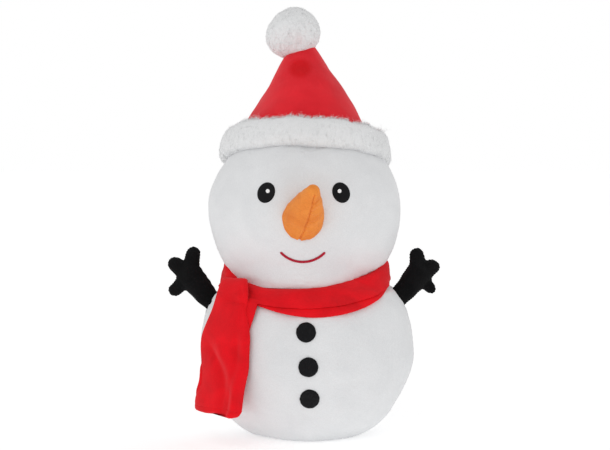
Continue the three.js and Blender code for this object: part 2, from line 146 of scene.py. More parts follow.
def waves(points, length, variety, count=14):
    """Smooth random relief, mostly within -1 to 1. Its lumps are about a length in mm across."""
    rng = np.random.default_rng(SEED + variety)
    directions = unit(rng.normal(size=(count, 3)))
    stretch = rng.uniform(0.7, 1.4, count)
    phases = rng.uniform(0, TURN, count)
    total = np.zeros(points.shape[:-1])
    for direction, factor, phase in zip(directions, stretch, phases):
        total += np.sin(points @ direction * (TURN * factor / (length * MM)) + phase)
    return total / math.sqrt(count)


def lumps(points, height, length, variety):
    """Waves of a height in mm."""
    return height * MM * waves(points, length, variety)


def ease(low, high, value):
    """A smooth rise from 0 at the low end to 1 at the high end."""
    share = np.clip((value - low) / (high - low), 0, 1)
    return share * share * (3 - 2 * share)


def bell(distance, width):
    return np.exp(-((distance / width) ** 2))


def quarter_round(share):
    """A rise from 0 to 1 along a quarter of a circle."""
    return np.sqrt(1 - (1 - np.clip(share, 0, 1)) ** 2)


def distance_along(outline):
    """How far along an outline each of its points is."""
    steps = np.linalg.norm(np.diff(outline, axis=0), axis=1)
    return np.concatenate([[0], np.cumsum(steps)])


def resample(outline, count):
    """An outline with its points spread evenly along it."""
    outline = np.array(outline, float)
    along = distance_along(outline)
    places = np.linspace(0, along[-1], count)
    return np.column_stack([np.interp(places, along, column) for column in outline.T])


def smooth_curve(points, count):
    """A smooth curve through a few points, from its first to its last."""
    points = np.array(points, float)
    padded = np.vstack([2 * points[0] - points[1], points, 2 * points[-1] - points[-2]])
    result = []
    per_span = max(2, count // (len(points) - 1))
    for i in range(len(points) - 1):
        before, start, end, after = padded[i:i + 4]
        for t in np.linspace(0, 1, per_span, endpoint=False):
            result.append(0.5 * (2 * start + (end - before) * t
                                 + (2 * before - 5 * start + 4 * end - after) * t * t
                                 + (3 * start - before - 3 * end + after) * t ** 3))
    result.append(points[-1])
    return resample(result, count)


# ---- meshes


def grid_faces(rows, columns, wrap_rows=False):
    """Quads of a grid whose columns wrap round."""
    here = np.arange(rows * columns).reshape(rows, columns)
    above = np.roll(here, -1, axis=0)
    quads = np.stack([here, np.roll(here, -1, axis=1), np.roll(above, -1, axis=1), above], axis=-1)
    return (quads if wrap_rows else quads[:-1]).reshape(-1, 4).tolist()


def grid_normals(grid, wrap_rows=False):
    """Unit normals of a grid of rings that rise and turn anticlockwise."""
    around = np.roll(grid, -1, axis=1) - np.roll(grid, 1, axis=1)
    if wrap_rows:
        up = np.roll(grid, -1, axis=0) - np.roll(grid, 1, axis=0)
    else:
        up = np.gradient(grid, axis=0)
    return unit(np.cross(around, up))


def raised(grid, relief, wrap_rows=False):
    """The grid, moved out along its normals by the relief."""
    return grid + grid_normals(grid, wrap_rows) * relief[..., None]


def new_object(name, data):
    thing = bpy.data.objects.new(name, data)
    SCENE.collection.objects.link(thing)
    return thing


def make_object(name, points, faces):
    mesh = bpy.data.meshes.new(name)
    mesh.from_pydata(np.asarray(points).reshape(-1, 3).tolist(), [], faces)
    mesh.polygons.foreach_set("use_smooth", [True] * len(mesh.polygons))
    mesh.update()
    return new_object(name, mesh)


def closed_form(name, grid):
    """A closed surface from a stack of rings, each end closed by a fan."""
    rows, columns = grid.shape[:2]
    faces = grid_faces(rows, columns)
    low, high = rows * columns, rows * columns + 1
    last = (rows - 1) * columns
    for i in range(columns):
        following = (i + 1) % columns
        faces += [[low, following, i], [high, last + i, last + following]]
    poles = np.array([grid[0].mean(axis=0), grid[-1].mean(axis=0)])
    return make_object(name, np.vstack([grid.reshape(-1, 3), poles]), faces)


def closed_ring(name, grid):
    """A closed surface whose rows and columns both wrap round."""
    return make_object(name, grid, grid_faces(*grid.shape[:2], wrap_rows=True))


def revolved(outline, columns, centre=(0, 0), depth_ratio=1.0):
    """Rings of a [radius, height] outline about an upright axis, and their azimuths."""
    azimuth = circle(columns, -math.pi)
    radius, height = outline[:, 0][:, None], outline[:, 1][:, None]
    grid = np.stack([centre[0] + radius * np.cos(azimuth),
                     centre[1] + radius * np.sin(azimuth) * depth_ratio,
                     height + 0 * azimuth], axis=-1)
    return grid, azimuth


def finish_piece(piece, material, slot, body, *nodes):
    piece.data.materials.append(material)
    if nodes:
        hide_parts(*nodes)
    if body:
        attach(piece, body)


# ---- materials


def set_inputs(node, values):
    for name, value in values.items():
        node.inputs[name].default_value = value


def new_material(name, colour, roughness, sheen=0.0, sheen_roughness=0.5, tint=(1, 1, 1)):
    material = bpy.data.materials.new(name)
    material.use_nodes = True
    shader = material.node_tree.nodes["Principled BSDF"]
    set_inputs(shader, {
        "Base Color": (*colour, 1), "Roughness": roughness, "Specular IOR Level": 0.25,
        "Sheen Weight": sheen, "Sheen Roughness": sheen_roughness, "Sheen Tint": (*tint, 1),
    })
    return material, material.node_tree, shader


def add_node(tree, kind, settings=(), **inputs):
    """A shader node whose inputs are values, or are linked to other nodes' outputs."""
    node = tree.nodes.new("ShaderNode" + kind)
    for name, value in dict(settings).items():
        setattr(node, name, value)
    for name, value in inputs.items():
        if isinstance(value, bpy.types.NodeSocket):
            tree.links.new(value, node.inputs[name])
        else:
            set_inputs(node, {name: value})
    return node


def noise_node(tree, scale, detail=3.0, stretch=(1, 1, 1), distortion=0.0):
    """A noise in the piece's own metres: scale is lumps in each metre."""
    place = add_node(tree, "TexCoord").outputs["Object"]
    mapping = add_node(tree, "Mapping", Vector=place, Scale=stretch)
    noise = add_node(tree, "TexNoise", Vector=mapping.outputs["Vector"], Scale=scale, Detail=detail,
                     Distortion=distortion)
    return noise.outputs["Fac"]


def colour_ramp(tree, factor, stops):
    ramp = add_node(tree, "ValToRGB", Fac=factor)
    elements = ramp.color_ramp.elements
    while len(elements) < len(stops):
        elements.new(0.5)
    for element, (place, colour) in zip(elements, stops):
        element.position = place
        element.color = (*colour, 1)
    return ramp.outputs["Color"]


def multiply(tree, first, second):
    settings = {"data_type": "RGBA", "blend_type": "MULTIPLY"}
    return add_node(tree, "Mix", settings, Factor=1.0, A=first, B=second).outputs["Result"]


def add_bumps(tree, shader, layers):
    """Bumps one upon the other: each layer is a height, and its depth in metres."""
    below = {}
    for height, depth in layers:
        bump = add_node(tree, "Bump", Height=height, Strength=1.0, Distance=depth, **below)
        below = {"Normal": bump.outputs["Normal"]}
    tree.links.new(below["Normal"], shader.inputs["Normal"])


def plush(name, light, dark, pile=1.0, sheen=0.35, patch=22, speckle=0.06, tint=(1, 1, 1)):
    """Short-pile cloth: brushed patches, a fine speckle between the hairs, and a sheen."""
    material, tree, shader = new_material(name, light, 0.95, sheen, 0.45, tint)
    patches = colour_ramp(tree, noise_node(tree, patch, 4.0, distortion=0.6), [(0.3, dark), (0.7, light)])
    low = 1 - speckle
    hairs = colour_ramp(tree, noise_node(tree, 900, 2.0), [(0.35, (low, low, low)), (0.65, (1, 1, 1))])
    tree.links.new(multiply(tree, patches, hairs), shader.inputs["Base Color"])
    add_bumps(tree, shader, [
        (noise_node(tree, 260, 2.0), 0.5 * MM * pile),
        (noise_node(tree, 1100, 3.0), 0.35 * MM * pile),
    ])
    return material


def nap_patch_painted_low_sheen(material, centre, size, tint):
    """Nap brushed the other way in one soft-edged patch: its weaker sheen there is painted into the base
    colour as a darker patch.
    """
    tree = material.node_tree
    base_colour = tree.nodes["Principled BSDF"].inputs["Base Color"]
    place = add_node(tree, "TexCoord").outputs["Object"]
    settings = {"vector_type": "TEXTURE"}
    mapping = add_node(tree, "Mapping", settings, Vector=place, Location=centre, Scale=size)
    distance = add_node(tree, "VectorMath", {"operation": "LENGTH"}, Vector=mapping.outputs["Vector"])
    # painted lower sheen: the base colour is darkened by the tint inside the patch
    painted_low_sheen = colour_ramp(tree, distance.outputs["Value"], [(0.6, tint), (1.0, (1, 1, 1))])
    tree.links.new(multiply(tree, base_colour.links[0].from_socket, painted_low_sheen), base_colour)


def thread(name, colour, roughness=0.42):
    """Satin-stitched thread: the stitches are in the mesh, and fine twist is in the bump."""
    material, tree, shader = new_material(name, colour, roughness, 0.04)
    add_bumps(tree, shader, [(noise_node(tree, 2600, 2.0), 0.08 * MM)])
    return material


def felt(name, light, dark):
    """Pressed felt: matted fibres and a faint fuzz."""
    material, tree, shader = new_material(name, light, 0.97, 0.06, 0.6)
    fibres = noise_node(tree, 420, 6.0, stretch=(1, 1, 0.6), distortion=2.5)
    tree.links.new(colour_ramp(tree, fibres, [(0.35, dark), (0.7, light)]),
                   shader.inputs["Base Color"])
    add_bumps(tree, shader, [(fibres, 0.5 * MM), (noise_node(tree, 1500, 3.0), 0.2 * MM)])
    return material


def fur_hair(name, colour):
    material, tree, shader = new_material(name, colour, 0.8, 0.6)
    add_bumps(tree, shader, [(noise_node(tree, 1800, 2.0), 0.05 * MM)])
    return material


PINK = (1, 0.45, 0.48)
WHITE_PLUSH = plush("white_plush_pile", (0.824, 0.831, 0.841), (0.77, 0.778, 0.79), 0.8, 0.25)
WHITE_UNDERCOAT = plush("white_fur_undercoat", (0.855, 0.86, 0.865), (0.805, 0.81, 0.815), 1.5, 0.25)
WHITE_HAIR = fur_hair("white_fur_hair", (0.97, 0.975, 0.98))
RED_PLUSH = plush("red_plush_pile", (0.88, 0.018, 0.03), (0.68, 0.009, 0.018), 0.8, 0.28,
                  patch=14, speckle=0.08, tint=PINK)
# painted lower sheen: a soft darker patch on the hat where its nap is brushed the other way
nap_patch_painted_low_sheen(RED_PLUSH, (-8 * MM, 0, 456 * MM), (17 * MM, 60 * MM, 15 * MM), (0.9, 0.05, 0.25))
SCARF_VELVET = plush("scarf_velvet_pile", (0.9, 0.004, 0.012), (0.7, 0.003, 0.009), 0.5, 0.1,
                     patch=26, speckle=0.08, tint=PINK)
BLACK_PLUSH = plush("black_plush_pile", (0.009, 0.009, 0.0095), (0.005, 0.005, 0.0055), 1.0, 0.05,
                    patch=40, speckle=0.3)
ORANGE_PLUSH = plush("orange_plush_pile", (0.92, 0.31, 0.055), (0.8, 0.225, 0.038), 0.7, 0.15,
                     patch=60, speckle=0.12, tint=(1, 0.75, 0.5))
FIBRE = plush("polyester_fibre", (0.9, 0.9, 0.88), (0.82, 0.82, 0.8), 3.0, 0.2, patch=60)
BLACK_FELT = felt("black_button_felt", (0.0115, 0.0115, 0.0125), (0.006, 0.006, 0.007))
PELLET_CLOTH = felt("pellet_bag_cloth", (0.62, 0.58, 0.5), (0.5, 0.46, 0.4))
BLACK_THREAD = thread("black_satin_thread", (0.008, 0.008, 0.009), 0.4)
WHITE_THREAD = thread("white_satin_thread", (0.9, 0.9, 0.9))
RED_THREAD = thread("red_satin_thread", (0.45, 0.003, 0.025))
for black in (BLACK_PLUSH, BLACK_FELT, BLACK_THREAD):
    set_inputs(black.node_tree.nodes["Principled BSDF"], {"Specular IOR Level": 0.08})

# ---- the body and the head

COVER_ROWS, COVER_COLUMNS = 230, 400
# Seams: how narrow the stitched valley is, and how close and how wide the puckers beside it are
STITCH_VALLEY = 2.2 * MM
PUCKER_SPACING = 7.5 * MM
PUCKER_REACH = 9 * MM
# The azimuth, depth and pucker of the seams at the front, the back and the two sides
BODY_SEAMS = [(-QUARTER, 0.25 * MM, 0.12 * MM), (QUARTER, 1.6 * MM, 0.7 * MM),
              (0.0, 1.8 * MM, 0.8 * MM), (math.pi, 1.8 * MM, 0.8 * MM)]
HEAD_SEAMS = [(-QUARTER, 0.5 * MM, 0.25 * MM), (QUARTER, 1.5 * MM, 0.7 * MM),
              (0.0, 1.5 * MM, 0.7 * MM), (math.pi, 1.5 * MM, 0.7 * MM)]
BELLY_DIMPLE = np.array([47, -118, 108]) * MM
CHIN_REACH = 99 * MM  # how far the chin comes over the scarf
NECK_ROLL_RADIUS, NECK_ROLL_DEPTH, NECK_ROLL_HEIGHT = 87 * MM, 6.5 * MM, 2.6 * MM


def body_radius(height):
    """The body's radius, side to side, at a height."""
    height = np.asarray(height, float)
    above = height > BODY_WIDEST_Z
    reach = np.where(above, BODY_UPPER_HEIGHT, BODY_LOWER_HEIGHT)
    power = np.where(above, BODY_UPPER_POWER, BODY_LOWER_POWER)
    share = np.clip(np.abs(height - BODY_WIDEST_Z) / reach, 0, 1)
    return BODY_RADIUS * (1 - share ** power) ** (1 / power)


def head_radius(height):
    """The head's radius, side to side, at a height."""
    share = np.clip(np.abs(np.asarray(height, float) - HEAD_CENTRE.z) / HEAD_HEIGHT, 0, 1)
    return HEAD_RADIUS * np.sqrt(1 - share ** 2)


def seam_relief(grid, azimuth, seams, along):
    """Valleys and cross puckers along upright seams. Each seam is its azimuth, depth and pucker."""
    radius = np.hypot(grid[..., 0], grid[..., 1])
    relief = np.zeros(radius.shape)
    for seed, (place, depth, pucker) in enumerate(seams):
        turn = turn_from(place, azimuth)
        distance = radius * np.abs(turn)
        phase = TURN * along[:, None] / PUCKER_SPACING + 1.3 * np.sign(turn)
        phase = phase + 1.5 * waves(grid, 45, 20 + seed)
        strength = 0.55 + 0.45 * waves(grid, 60, 40 + seed)
        relief -= depth * (bell(distance, STITCH_VALLEY) + 0.6 * bell(distance, PUCKER_REACH))
        relief += pucker * strength * np.sin(phase) * np.exp(-distance / PUCKER_REACH) * (distance > 0)
    return relief


def finish_cover(cover, prefix):
    """A stuffed cover, given the white plush, with its frame parts hidden and its transform baked into the
    mesh.
    """
    finish_piece(cover, WHITE_PLUSH, "white_plush", None, *nodes_like(prefix))
    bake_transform(cover)
    return cover


def body_grid():
    shoulder = NECK_PIVOT.z - 6 * MM
    turn = np.linspace(0, math.pi, 120)
    heights = BODY_WIDEST_Z * (1 - np.cos(turn))
    heights = heights[(heights > 0.6 * MM) & (heights < shoulder)]
    outline = [[1 * MM, 0], [BASE_RADIUS, 0], [BASE_RADIUS + 4 * MM, 0.2 * MM]]
    outline += [[float(body_radius(z)), z] for z in heights]
    outline += [[102 * MM, shoulder + 3 * MM], [92 * MM, shoulder + 5.2 * MM],
                [45 * MM, shoulder + 4.5 * MM], [1 * MM, shoulder + 4 * MM]]
    outline = resample(outline, COVER_ROWS)
    return outline, *revolved(outline, COVER_COLUMNS, depth_ratio=BODY_DEPTH_RATIO)


def arm_gathers(grid, pivot):
    """The dimple and the radiating gathers round the root of an arm."""
    offset = grid - np.array(pivot)
    distance = np.linalg.norm(offset, axis=-1)
    angle = np.arctan2(offset[..., 2], offset[..., 1])
    ripple = np.sin(9 * angle + 2 * waves(grid, 30, 3))
    return 1.1 * MM * ripple * bell(distance - 17 * MM, 10 * MM) - 2.5 * MM * bell(distance, 15 * MM)


def make_body():
    outline, grid, azimuth = body_grid()
    along = distance_along(outline)
    relief = seam_relief(grid, azimuth, BODY_SEAMS, along)
    relief += 0.8 * MM + lumps(grid, 1.3, 95, 0) + lumps(grid, 0.25, 28, 1)
    for side in ARMS:
        relief += arm_gathers(grid, joint_pivot(f"arm_{side}_raise"))
    above_base = along[:, None] - BASE_RADIUS
    rim_folds = np.sin(azimuth[None, :] * 44 + 3 * waves(grid, 50, 5))
    relief += 0.9 * MM * rim_folds * np.exp(-np.abs(above_base) / (13 * MM)) * (above_base > 0)
    relief -= 1.6 * MM * bell(above_base, 3 * MM)
    relief -= 0.9 * MM * bell(np.linalg.norm(grid - BELLY_DIMPLE, axis=-1), 7 * MM)
    flat = ease(2 * MM, 12 * MM, grid[..., 2])
    relief = np.where(grid[..., 2] < 0.1 * MM, np.maximum(relief * flat, 0), relief)
    neck_share = 1 - ease(NECK_PIVOT.z - 12 * MM, NECK_PIVOT.z - 3 * MM, grid[..., 2])
    grid = raised(grid, relief * neck_share)
    grid[..., 2] = np.maximum(grid[..., 2], 0)
    body = closed_form("body_cover", grid)
    return finish_cover(body, "body_")


def head_grid():
    crease = NECK_PIVOT.z + 1 * MM
    angles = np.linspace(math.asin((crease - HEAD_CENTRE.z) / HEAD_HEIGHT), QUARTER, 150)
    outline = [[1 * MM, crease - 3 * MM], [45 * MM, crease - 3 * MM], [68 * MM, crease - 2 * MM]]
    outline += [[HEAD_RADIUS * math.cos(a), HEAD_CENTRE.z + HEAD_HEIGHT * math.sin(a)] for a in angles]
    outline[-1] = [1 * MM, HEAD_HIGH.z]
    outline = resample(outline, COVER_ROWS)
    return outline, *revolved(outline, COVER_COLUMNS, HEAD_CENTRE, HEAD_DEPTH / HEAD_RADIUS)


def make_head():
    outline, grid, azimuth = head_grid()
    centred = grid - np.array([HEAD_CENTRE.x, 0, 0])
    relief = seam_relief(centred, azimuth, HEAD_SEAMS, distance_along(outline))
    relief += lumps(grid, 1.0, 100, 8) + lumps(grid, 0.2, 26, 9)
    gathers = np.sin(azimuth[None, :] * 38 + 2.5 * waves(grid, 60, 10))
    above_neck = grid[..., 2] - NECK_PIVOT.z
    reach = np.hypot(centred[..., 0], centred[..., 1])
    turn = np.degrees(turn_from(-QUARTER, azimuth))
    forward = (1 - ease(8, 58, turn)) * (1 - ease(46, 80, -turn))
    short = CHIN_REACH - 2.5 * MM * bell(above_neck, 7 * MM) - reach
    fuller = (short + np.hypot(short, 6 * MM)) / 2 * ease(50 * MM, 70 * MM, reach)
    relief += 1 * MM
    relief += 0.8 * MM * gathers * np.exp(-np.abs(above_neck) / (13 * MM)) * (1 - 0.6 * forward)
    neck_share = ease(-2 * MM, 6 * MM, above_neck)
    outward = np.stack([np.cos(azimuth), np.sin(azimuth), 0 * azimuth], axis=-1)[None]
    chin = (fuller * forward * ease(62 * MM, 18 * MM, above_neck))[..., None]
    head = closed_form("head_cover", raised(grid, relief * neck_share) + outward * chin)
    return finish_cover(head, "head_")


def make_neck_wad():
    """A flat lumpy wad of fibre between the body and the head."""
    low = NECK_PIVOT.z - 7 * MM
    outline = resample([[1 * MM, low], [50 * MM, low + 0.5 * MM], [68 * MM, low + 4 * MM],
                        [50 * MM, low + 9 * MM], [1 * MM, low + 10 * MM]], 30)
    grid, _ = revolved(outline, 60)
    wad = closed_form("neck_wad", raised(grid, lumps(grid, 0.8, 14, 2)))
    finish_piece(wad, FIBRE, "fibre_stuffing", "neck", "neck_stuffing")


def make_neck_seam():
    """The gathered roll of plush that closes the crease between the body and the head."""
    turn = circle(24)
    section = np.column_stack([NECK_ROLL_RADIUS + NECK_ROLL_DEPTH * np.cos(turn),
                               NECK_PIVOT.z - 1 * MM + NECK_ROLL_HEIGHT * np.sin(turn)])
    grid, azimuth = revolved(section, 360, depth_ratio=BODY_DEPTH_RATIO)
    gathers = 0.5 * MM * np.sin(azimuth[None, :] * 60 + 2 * waves(grid, 40, 30))
    roll = closed_ring("neck_seam_roll", raised(grid, gathers, wrap_rows=True))
    finish_piece(roll, WHITE_PLUSH, "white_plush", "neck")


# ---- stitched eyes, mouth and buttons


def front_of(piece, normal_at):
    """A function that lays points on the front of a piece, each lifted along a smooth normal."""
    tree = BVHTree.FromPolygons([v.co for v in piece.data.vertices],
                                [face.vertices for face in piece.data.polygons])

    def lay(x, z, lift):
        flat = np.column_stack([np.ravel(x), np.ravel(z)])
        found = [tree.ray_cast(Vector((a, -1, b)), -AHEAD)[0] for a, b in flat]
        points = np.array(found).reshape(*np.shape(x), 3)
        normal = unit(normal_at(points))
        return points + normal * np.asarray(lift)[..., None], normal

    return lay


def head_normal(points):
    radii = np.array([HEAD_RADIUS, HEAD_DEPTH, HEAD_HEIGHT])
    return (points - np.array(HEAD_CENTRE)) / radii ** 2


def body_normal(points):
    step = 1 * MM
    z = points[..., 2]
    slope = (body_radius(z + step) - body_radius(z - step)) / (2 * step)
    round_part = points[..., :2] / body_radius(z)[..., None]
    return np.concatenate([round_part, -slope[..., None]], axis=-1)


def patch(name, lay, centre, radii, lean, height, edge=6, rows=40, columns=180,
          stitch=0.0, spacing=0.7 * MM):
    """A domed oval sewn on a surface, with satin stitches across it where stitch is their depth."""
    share = np.sin(np.linspace(0.02, QUARTER, rows))[:, None]
    angle = circle(columns)[None, :]
    across = radii[0] * share * np.cos(angle)
    up = radii[1] * share * np.sin(angle)
    x = centre[0] + across * math.cos(lean) - up * math.sin(lean)
    z = centre[1] + across * math.sin(lean) + up * math.cos(lean)
    dome = 0.3 * MM + height * (1 - share ** edge) ** 0.5
    ridges = stitch * np.abs(np.cos(math.pi * (up + 0.25 * across) / spacing)) * (1 - share ** 8)
    top, normal = lay(x, z, dome + ridges)
    under = top - normal * (dome + ridges + 0.6 * MM)[..., None]
    return closed_form(name, np.concatenate([under[:-1], top[::-1]]))


def box_middle(node):
    low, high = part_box(node)
    return (low.x + high.x) / 2, (low.z + high.z) / 2


def make_eyes(lay):
    def above_eye(x, z, lift):
        return lay(x, z, lift + 1.3 * MM)

    for side, turn in (("left", 1), ("right", -1)):
        eye = patch(f"eye_{side}_stitched", lay, box_middle(f"eye_{side}"), EYE_RADII,
                    -turn * EYE_LEAN, 1.1 * MM, stitch=0.22 * MM)
        finish_piece(eye, BLACK_THREAD, "black_thread", "head", f"eye_{side}")
        spot = patch(f"eye_highlight_{side}_stitched", above_eye, box_middle(f"eye_highlight_{side}"),
                     (HIGHLIGHT_RADIUS,) * 2, 0, 0.6 * MM, rows=16, columns=60,
                     stitch=0.15 * MM, spacing=0.6 * MM)
        finish_piece(spot, WHITE_THREAD, "white_thread", "head", f"eye_highlight_{side}")


def make_mouth(lay):
    """A satin-stitched tube along an arc, drawn out to a point at both ends."""
    low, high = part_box("mouth")
    half = (high.x - low.x) / 2
    drop = high.z - low.z - 1.5 * MM
    middle = (low.x + high.x) / 2
    radius = (half ** 2 + drop ** 2) / (2 * drop)
    reach = math.asin((half - 1 * MM) / radius)
    angle = np.linspace(-reach, reach, 620)
    x = middle + radius * np.sin(angle)
    z = low.z + 1.2 * MM + radius * (1 - np.cos(angle))
    centre, normal = lay(x, z, np.full(x.shape, 0.45 * MM))
    side = np.cross(normal, unit(np.gradient(centre, axis=0)))
    distance = radius * (angle + reach)
    to_end = np.minimum(distance, distance[-1] - distance)
    taper = np.clip(to_end / (1.5 * MM), 0.03, 1) ** 0.5
    stitches = 1 + 0.1 * np.cos(TURN * distance / (0.75 * MM))
    size = (taper * stitches)[:, None, None]
    turn = circle(16)[None, :, None]
    grid = (centre[:, None, :] + size * MOUTH_HALF_WIDTH * np.cos(turn) * side[:, None, :]
            + size * MOUTH_HALF_DEPTH * np.sin(turn) * normal[:, None, :])
    finish_piece(closed_form("mouth_stitched", grid), RED_THREAD, "red_thread", "head", "mouth")


def make_buttons(lay):
    for name in ("button_top", "button_middle", "button_bottom"):
        low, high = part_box(name)
        radius = (high.x - low.x) / 2
        button = patch(f"{name}_felt", lay, box_middle(name), (radius, (high.z - low.z) / 2), 0,
                       2.2 * MM, edge=9)
        push_out(button, lumps(read_vertices(button), 0.12, 5, 12))
        finish_piece(button, BLACK_FELT, "black_felt", "torso", name)


# ---- the hat


HAT_TURN = Matrix.Rotation(HAT_ROLL, 4, "Y") @ Matrix.Rotation(-HAT_TILT_BACK, 4, "X")
HAT_MIDDLE = HEAD_CENTRE + HAT_TURN @ Vector((0, 0, 1)) * HAT_DISTANCE + Vector((HAT_SHIFT, 0, 0))
HAT_PLACE = Matrix.Translation(HAT_MIDDLE) @ HAT_TURN


def placed(grid, matrix):
    """The grid's points moved by a matrix."""
    return grid @ np.array(matrix.to_3x3()).T + np.array(matrix.translation)


def make_hat():
    outline = smooth_curve([
        [HAT_RIM_RADIUS * 0.9, -6 * MM], [HAT_RIM_RADIUS * 0.875, 10 * MM],
        [HAT_RIM_RADIUS * 0.77, 36 * MM], [HAT_RIM_RADIUS * 0.52, 78 * MM],
        [HAT_RIM_RADIUS * 0.33, 108 * MM], [HAT_TIP_RADIUS * 0.96, HAT_TOP - 9 * MM],
        [HAT_TIP_RADIUS * 0.68, HAT_TOP - 2 * MM], [HAT_TIP_RADIUS * 0.42, HAT_TOP],
        [1 * MM, HAT_TOP + 0.4 * MM],
    ], 200)
    grid, azimuth = revolved(outline, 320)
    share = grid[..., 2] / HAT_HEIGHT
    relief = seam_relief(grid, azimuth, [(QUARTER, 1.3 * MM, 0.6 * MM)], distance_along(outline))
    relief += lumps(grid, 1.0, 90, 14) + lumps(grid, 0.2, 30, 15)
    grid = raised(grid, relief)
    at_tip = np.clip(6 * share - 5, 0, 1)
    grid[..., 2] += 0.4 * (grid[..., 0] + 4 * MM) * ease(0.8, 1.0, share)
    grid[..., 0] += -1.5 * MM - 7.5 * MM * ease(0.6, 1.0, share) - 4.5 * MM * at_tip
    grid[..., 1] += -8 * MM * ease(-0.1, 1.0, share)
    hat = closed_form("hat_cover", placed(grid, HAT_PLACE))
    finish_piece(hat, RED_PLUSH, "red_plush", "head", "hat_cone", "hat_stuffing")


HAIR_WIDTH = 0.4 * MM
TRIM_ROWS = 60
# Directions from the pom-pom's centre to its pressed side, its fullest side and a tuck in its fur
POMPOM_FLAT_SIDE = np.array([-0.62, -0.25, 0.74])
POMPOM_FULL_SIDE = np.array([-0.88, 0, -0.35])
POMPOM_TUCK = np.array([0.24, -0.82, -0.5])
POMPOM_CORE = 0.975  # the undercoat's share of the radius, before its relief


def strands(name, roots, directions, lengths, variety):
    """Closed three-sided hairs, each bent once and drawn out to a point."""
    rng = np.random.default_rng(SEED + variety)
    count = len(roots)
    directions = unit(directions)
    side = unit(np.cross(directions, rng.normal(size=(count, 3))))
    other = np.cross(directions, side)
    bend = rng.normal(size=(count, 3)) * 0.16
    middle = roots + directions * lengths[:, None] * 0.55
    ends = roots + (directions + bend) * lengths[:, None]
    rings = []
    for centre, radius in ((roots, HAIR_WIDTH / 2), (middle, HAIR_WIDTH * 0.36)):
        for angle in circle(3):
            rings.append(centre + radius * (side * math.cos(angle) + other * math.sin(angle)))
    points = np.stack(rings + [ends], axis=1).reshape(-1, 3)
    shape = [[2, 1, 0], [0, 1, 4, 3], [1, 2, 5, 4], [2, 0, 3, 5], [3, 4, 6], [4, 5, 6], [5, 3, 6]]
    faces = [[corner + 7 * strand for corner in face] for strand in range(count) for face in shape]
    return make_object(name, points, faces)


def scatter(grid, normals, count, variety, wrap_rows):
    """Random places on a grid, even by area, with their normals."""
    rng = np.random.default_rng(SEED + variety)
    rows, columns = grid.shape[:2]
    down = (np.roll(grid, -1, axis=0) if wrap_rows else np.gradient(grid, axis=0) + grid) - grid
    across = np.roll(grid, -1, axis=1) - grid
    area = np.linalg.norm(np.cross(down, across), axis=-1)
    if not wrap_rows:
        area[-1] = 0
    picked = rng.choice(rows * columns, count, p=(area / area.sum()).ravel())
    row, column = picked // columns, picked % columns
    shift = rng.random((2, count, 1))
    places = grid[row, column] + down[row, column] * shift[0] + across[row, column] * shift[1]
    return places, normals[row, column]


def fur(name, body, grid, place, comb, count, length, variety, wrap_rows=False, lie=0.97):
    """Hair on a grid: each hair leans from the normal towards the comb direction, by the share lie."""
    roots, up = scatter(grid, grid_normals(grid, wrap_rows), count, variety, wrap_rows)
    rng = np.random.default_rng(SEED + variety + 1)
    swirl = np.stack([waves(roots, 15, variety + 2 + axis) for axis in range(3)], axis=1)
    flow = comb(roots) + 0.3 * swirl
    flow -= up * np.sum(flow * up, axis=1)[:, None]
    flow /= np.linalg.norm(flow, axis=1)[:, None] + 0.2
    direction = up * (1 - lie) + flow * lie + 0.045 * rng.normal(size=(count, 3))
    lengths = rng.uniform(0.7, 1.15, count) * length * (1 + 0.2 * waves(roots, 9, variety + 6))
    turned = direction @ np.array(place.to_3x3()).T
    hairs = strands(name, placed(roots, place), turned, lengths, variety + 2)
    finish_piece(hairs, WHITE_HAIR, "white_fur", body)


def make_trim():
    """A roll of fur round the hat's rim: a soft square in section, and higher at the front and right."""
    around = circle(TRIM_ROWS)
    out = np.sign(np.cos(around)) * np.abs(np.cos(around)) ** 0.55
    rise = np.sign(np.sin(around)) * np.abs(np.sin(around)) ** 0.7
    section = np.column_stack([TRIM_RADIUS + TRIM_HALF_WIDTH * out, 4 * MM + TRIM_HALF_HEIGHT * rise])
    grid, azimuth = revolved(section, 360)
    slant = 3 * MM * (grid[..., 2] / (17 * MM))
    grid[..., 0] -= slant * np.cos(azimuth)
    grid[..., 1] -= slant * np.sin(azimuth)
    front, right = np.maximum(-np.sin(azimuth), 0), np.maximum(np.cos(azimuth), 0)
    grid[..., 2] += 1.5 * MM * front ** 2 + 4 * MM * right ** 4
    grid = raised(grid, lumps(grid, 1.0, 42, 16), wrap_rows=True)
    under = closed_ring("hat_trim_undercoat", placed(grid, HAT_PLACE))
    finish_piece(under, WHITE_UNDERCOAT, "white_fur", "head", "hat_trim")

    def comb_down(roots):
        """Down over the front of the roll, and up over the hat along its top."""
        way = np.zeros(roots.shape)
        way[:, 2] = -1 + 2.6 * ease(12 * MM, 20 * MM, roots[:, 2])
        return way

    def comb_up(roots):
        return np.array([0.15, 0, 1.0])

    for layer in range(2):
        fur(f"hat_trim_fur_{layer}", "head", grid, HAT_PLACE, comb_down, 3200, 6 * MM,
            60 + 10 * layer, wrap_rows=True)
    along_top = grid[TRIM_ROWS // 6:TRIM_ROWS * 5 // 12]
    fur("hat_trim_tufts", "head", along_top, HAT_PLACE, comb_up, 4600, 8.5 * MM, 90, lie=0.78)


